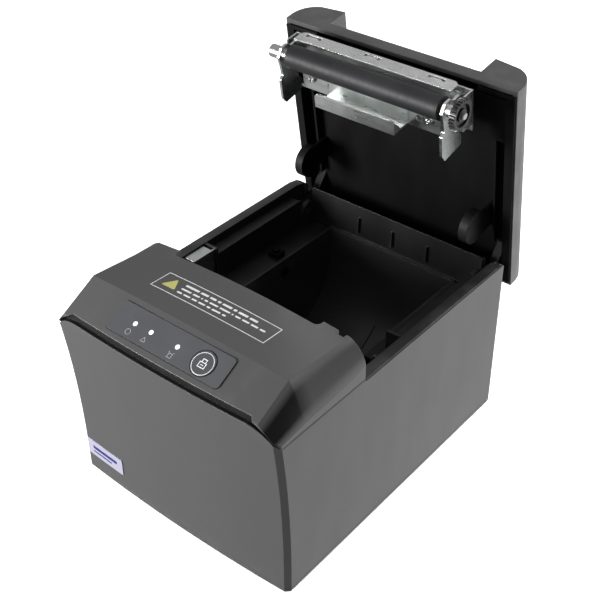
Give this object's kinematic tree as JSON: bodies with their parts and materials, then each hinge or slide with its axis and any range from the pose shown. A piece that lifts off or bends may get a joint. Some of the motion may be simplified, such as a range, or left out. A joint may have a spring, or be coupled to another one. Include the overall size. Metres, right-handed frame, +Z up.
{
  "type": "receipt printer",
  "caption": "Desktop thermal receipt printer in grey plastic with its hinged lid open, showing the paper bucket and the platen roller.",
  "frame": {"origin": "on the surface it stands on, under the middle of the whole object with its lid open", "axes": "+X to the right seen from the front, +Y from the front to the rear panel, +Z up"},
  "size_m": [0.1452, 0.2266, 0.2128],
  "materials": {
    "case_grey": "satin fine texture",
    "black_plastic": "satin",
    "panel_black": "gloss",
    "button_grey": "satin",
    "lens_white": "clear gloss",
    "badge_white": "semi gloss",
    "zinc_steel": "bright zinc",
    "blade_steel": "ground",
    "screw_steel": "bright",
    "head_aluminium": "matt",
    "roller_rubber": "smooth",
    "foot_rubber": "matt",
    "gear_black": "satin",
    "gear_white": "satin",
    "board_green": "satin",
    "port_black": "satin",
    "port_steel": "bright tin"
  },
  "bodies": {
    "printer_body": {"lower_case": "case_grey", "base_plate": "case_grey", "rubber_feet": "foot_rubber", "base_screws": "screw_steel", "top_cover": "case_grey", "front_trim": "black_plastic", "control_panel": "panel_black", "led_lenses": "lens_white", "front_badge": "badge_white", "inner_frame": "black_plastic", "paper_bucket": "black_plastic", "paper_guide": "black_plastic", "paper_sensor": "port_black", "near_end_sensor": "black_plastic", "left_tab": "zinc_steel", "hinge_pins": "screw_steel", "feed_motor": "port_steel", "mech_frame": "zinc_steel", "print_head": "head_aluminium", "heat_sink": "head_aluminium", "head_springs": "screw_steel", "cutter_base": "zinc_steel", "cutter_top": "zinc_steel", "cutter_motor": "port_steel", "main_board": "board_green", "power_inlet": "port_black", "usb_port": "port_steel", "network_port": "port_steel", "drawer_port": "port_black", "switch_housing": "port_black"},
    "lid": {"lid_cover": "case_grey", "lid_liner": "black_plastic", "hook_plates": "zinc_steel", "platen_bracket": "zinc_steel", "counter_blade": "blade_steel", "guide_tray": "zinc_steel", "bracket_screws": "screw_steel", "platen_bushes": "screw_steel"},
    "platen": {"platen_shaft": "screw_steel", "platen_roller": "roller_rubber", "platen_gear": "gear_black"},
    "button": {"feed_button": "button_grey"},
    "rocker": {"power_rocker": "port_black"},
    "idler": {"idler_gear": "gear_white"},
    "feed_pinion": {"motor_pinion": "screw_steel"},
    "blade": {"cutter_blade": "blade_steel"},
    "blade_pinion": {"cutter_pinion": "gear_white"}
  },
  "joints": [
    {"name": "lid_hinge", "type": "hinge", "parent": "printer_body", "child": "lid", "pos_m": [0, 0.07294, 0.0907], "axis": [1, 0, 0], "range_deg": [0, 80.9]},
    {"name": "platen_spin", "type": "hinge", "parent": "lid", "child": "platen", "pos_m": [0, 0.0426, 0.20423], "axis": [1, 0, 0], "continuous": true},
    {"name": "feed_button_press", "type": "slide", "parent": "printer_body", "child": "button", "axis": [0, 0.4728, -0.8812], "range_m": [0, 0.0008], "stiffness_N_per_m": 800},
    {"name": "power_rocker_tilt", "type": "hinge", "parent": "printer_body", "child": "rocker", "pos_m": [-0.05, 0.08194, 0.0208], "axis": [1, 0, 0], "range_deg": [0, 18]},
    {"name": "idler_turn", "type": "hinge", "parent": "printer_body", "child": "idler", "pos_m": [0.0583, -0.04192, 0.05888], "axis": [1, 0, 0], "continuous": true},
    {"name": "feed_pinion_turn", "type": "hinge", "parent": "printer_body", "child": "feed_pinion", "pos_m": [0.0583, -0.05277, 0.04751], "axis": [1, 0, 0], "continuous": true},
    {"name": "blade_slide", "type": "slide", "parent": "printer_body", "child": "blade", "axis": [0, 1, 0], "range_m": [0, 0.007]},
    {"name": "blade_pinion_turn", "type": "hinge", "parent": "printer_body", "child": "blade_pinion", "pos_m": [0.04032, -0.08006, 0.0967], "axis": [0, 0, -1], "range_deg": [0, 96]}
  ],
  "couplings": [
    {"joint": "feed_pinion_turn", "follows": "idler_turn", "ratio": -3.3333},
    {"joint": "blade_pinion_turn", "follows": "blade_slide", "rad_per_m": 238.1}
  ]
}
